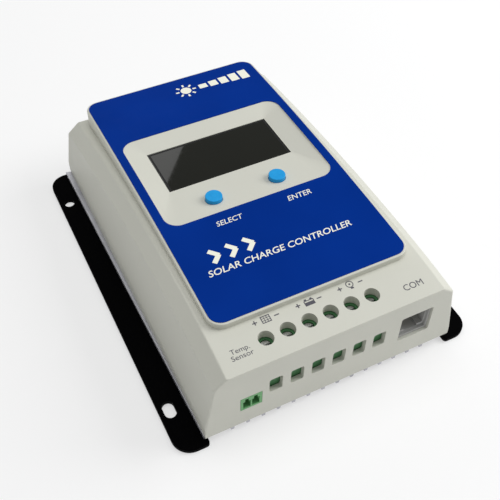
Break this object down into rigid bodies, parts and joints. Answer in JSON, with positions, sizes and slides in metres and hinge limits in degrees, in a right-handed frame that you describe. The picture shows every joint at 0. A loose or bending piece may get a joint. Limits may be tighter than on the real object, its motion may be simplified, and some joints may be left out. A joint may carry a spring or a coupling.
{
  "type": "solar charge controller",
  "caption": "Wall-mounted solar charge controller: crowned grey cover with blue face film, display, push buttons, clamp terminals and finned heat sink on black flanges.",
  "frame": {"origin": "centre of the mounting plane, on the underside of the mounting flanges", "axes": "+X to the right across the terminal row, +Y towards the back end away from the terminals, +Z off the mounting plane, out of the display"},
  "size_m": [0.139, 0.172, 0.0467],
  "materials": {
    "grey_plastic": "fine-textured moulded plastic, light warm grey",
    "face_film": "satin printed film, deep blue",
    "window_plastic": "clear tinted window, glossy",
    "black_plastic": "moulded black plastic",
    "lcd_glass": "dark display glass",
    "light_guide": "white light guide",
    "board_green": "green solder mask on glass laminate",
    "screw_steel": "zinc-plated steel",
    "bare_aluminium": "die-cast aluminium, lightly blasted",
    "black_flange": "black powder coat on steel sheet",
    "terminal_green": "dark green moulded plastic",
    "header_green": "bright green moulded plastic",
    "contact_brass": "plated brass contacts",
    "jack_grey": "grey moulded socket body",
    "ferrite": "coated powdered-iron ring",
    "copper_wire": "enamelled copper wire",
    "capacitor_sleeve": "shrink sleeve over an aluminium can",
    "chip_black": "moulded semiconductor case",
    "pad_rubber": "grey heat-conducting pad",
    "shunt_metal": "bare alloy strip",
    "clamp_metal": "plated steel clamp cage",
    "button_blue": "smooth light-blue plastic"
  },
  "bodies": {
    "base": {"heat_sink": "bare_aluminium", "mounting_flange_left": "black_flange", "mounting_flange_right": "black_flange", "flange_screws": "screw_steel", "top_cover": "grey_plastic", "cover_screws": "screw_steel", "face_label": "face_film", "display_window": "window_plastic", "lcd_frame": "black_plastic", "lcd_glass": "lcd_glass", "lcd_backlight": "light_guide", "display_board": "board_green", "display_board_screws": "screw_steel", "link_pin_strip": "black_plastic", "link_socket": "black_plastic", "tact_switches": "black_plastic", "main_board": "board_green", "board_spacers": "screw_steel", "board_screws": "screw_steel", "terminal_block": "terminal_green", "terminal_bars": "contact_brass", "sensor_header": "header_green", "sensor_pins": "contact_brass", "com_jack": "jack_grey", "com_contacts": "contact_brass", "inductor_core": "ferrite", "inductor_winding": "copper_wire", "capacitors": "capacitor_sleeve", "power_transistors": "chip_black", "insulating_pads": "pad_rubber", "transistor_screws": "screw_steel", "control_chip": "chip_black", "current_shunt": "shunt_metal", "surge_diodes": "chip_black"},
    "select_button": {"select_button": "button_blue"},
    "select_plunger": {"switch_plunger_select": "black_plastic"},
    "enter_button": {"enter_button": "button_blue"},
    "enter_plunger": {"switch_plunger_enter": "black_plastic"},
    "terminal_screw_1": {"terminal_screw_1": "screw_steel"},
    "terminal_clamp_1": {"terminal_clamp_1": "clamp_metal"},
    "terminal_screw_2": {"terminal_screw_2": "screw_steel"},
    "terminal_clamp_2": {"terminal_clamp_2": "clamp_metal"},
    "terminal_screw_3": {"terminal_screw_3": "screw_steel"},
    "terminal_clamp_3": {"terminal_clamp_3": "clamp_metal"},
    "terminal_screw_4": {"terminal_screw_4": "screw_steel"},
    "terminal_clamp_4": {"terminal_clamp_4": "clamp_metal"},
    "terminal_screw_5": {"terminal_screw_5": "screw_steel"},
    "terminal_clamp_5": {"terminal_clamp_5": "clamp_metal"},
    "terminal_screw_6": {"terminal_screw_6": "screw_steel"},
    "terminal_clamp_6": {"terminal_clamp_6": "clamp_metal"}
  },
  "joints": [
    {"name": "select_press", "type": "slide", "parent": "base", "child": "select_button", "axis": [0, -0.0314, -0.9995], "range_m": [0, 0.0006], "stiffness_N_per_m": 1500, "springref_m": -0.0004},
    {"name": "select_plunger_press", "type": "slide", "parent": "base", "child": "select_plunger", "axis": [0, -0.0314, -0.9995], "range_m": [0, 0.0006]},
    {"name": "enter_press", "type": "slide", "parent": "base", "child": "enter_button", "axis": [0, -0.0314, -0.9995], "range_m": [0, 0.0006], "stiffness_N_per_m": 1500, "springref_m": -0.0004},
    {"name": "enter_plunger_press", "type": "slide", "parent": "base", "child": "enter_plunger", "axis": [0, -0.0314, -0.9995], "range_m": [0, 0.0006]},
    {"name": "screw_1_turn", "type": "hinge", "parent": "base", "child": "terminal_screw_1", "pos_m": [-0.02707, -0.075, 0.03507], "axis": [0, 0, -1], "range_deg": [0, 1800]},
    {"name": "clamp_1_rise", "type": "slide", "parent": "base", "child": "terminal_clamp_1", "axis": [0, 0, 1], "range_m": [0, 0.0035]},
    {"name": "screw_2_turn", "type": "hinge", "parent": "base", "child": "terminal_screw_2", "pos_m": [-0.01773, -0.075, 0.03507], "axis": [0, 0, -1], "range_deg": [0, 1800]},
    {"name": "clamp_2_rise", "type": "slide", "parent": "base", "child": "terminal_clamp_2", "axis": [0, 0, 1], "range_m": [0, 0.0035]},
    {"name": "screw_3_turn", "type": "hinge", "parent": "base", "child": "terminal_screw_3", "pos_m": [-0.00838, -0.075, 0.03507], "axis": [0, 0, -1], "range_deg": [0, 1800]},
    {"name": "clamp_3_rise", "type": "slide", "parent": "base", "child": "terminal_clamp_3", "axis": [0, 0, 1], "range_m": [0, 0.0035]},
    {"name": "screw_4_turn", "type": "hinge", "parent": "base", "child": "terminal_screw_4", "pos_m": [0.00097, -0.075, 0.03507], "axis": [0, 0, -1], "range_deg": [0, 1800]},
    {"name": "clamp_4_rise", "type": "slide", "parent": "base", "child": "terminal_clamp_4", "axis": [0, 0, 1], "range_m": [0, 0.0035]},
    {"name": "screw_5_turn", "type": "hinge", "parent": "base", "child": "terminal_screw_5", "pos_m": [0.01033, -0.075, 0.03507], "axis": [0, 0, -1], "range_deg": [0, 1800]},
    {"name": "clamp_5_rise", "type": "slide", "parent": "base", "child": "terminal_clamp_5", "axis": [0, 0, 1], "range_m": [0, 0.0035]},
    {"name": "screw_6_turn", "type": "hinge", "parent": "base", "child": "terminal_screw_6", "pos_m": [0.01968, -0.075, 0.03507], "axis": [0, 0, -1], "range_deg": [0, 1800]},
    {"name": "clamp_6_rise", "type": "slide", "parent": "base", "child": "terminal_clamp_6", "axis": [0, 0, 1], "range_m": [0, 0.0035]}
  ],
  "couplings": [
    {"joint": "select_plunger_press", "follows": "select_press", "ratio": 1},
    {"joint": "enter_plunger_press", "follows": "enter_press", "ratio": 1},
    {"joint": "screw_1_turn", "follows": "clamp_1_rise", "rad_per_m": 8981},
    {"joint": "screw_2_turn", "follows": "clamp_2_rise", "rad_per_m": 8981},
    {"joint": "screw_3_turn", "follows": "clamp_3_rise", "rad_per_m": 8981},
    {"joint": "screw_4_turn", "follows": "clamp_4_rise", "rad_per_m": 8981},
    {"joint": "screw_5_turn", "follows": "clamp_5_rise", "rad_per_m": 8981},
    {"joint": "screw_6_turn", "follows": "clamp_6_rise", "rad_per_m": 8981}
  ]
}
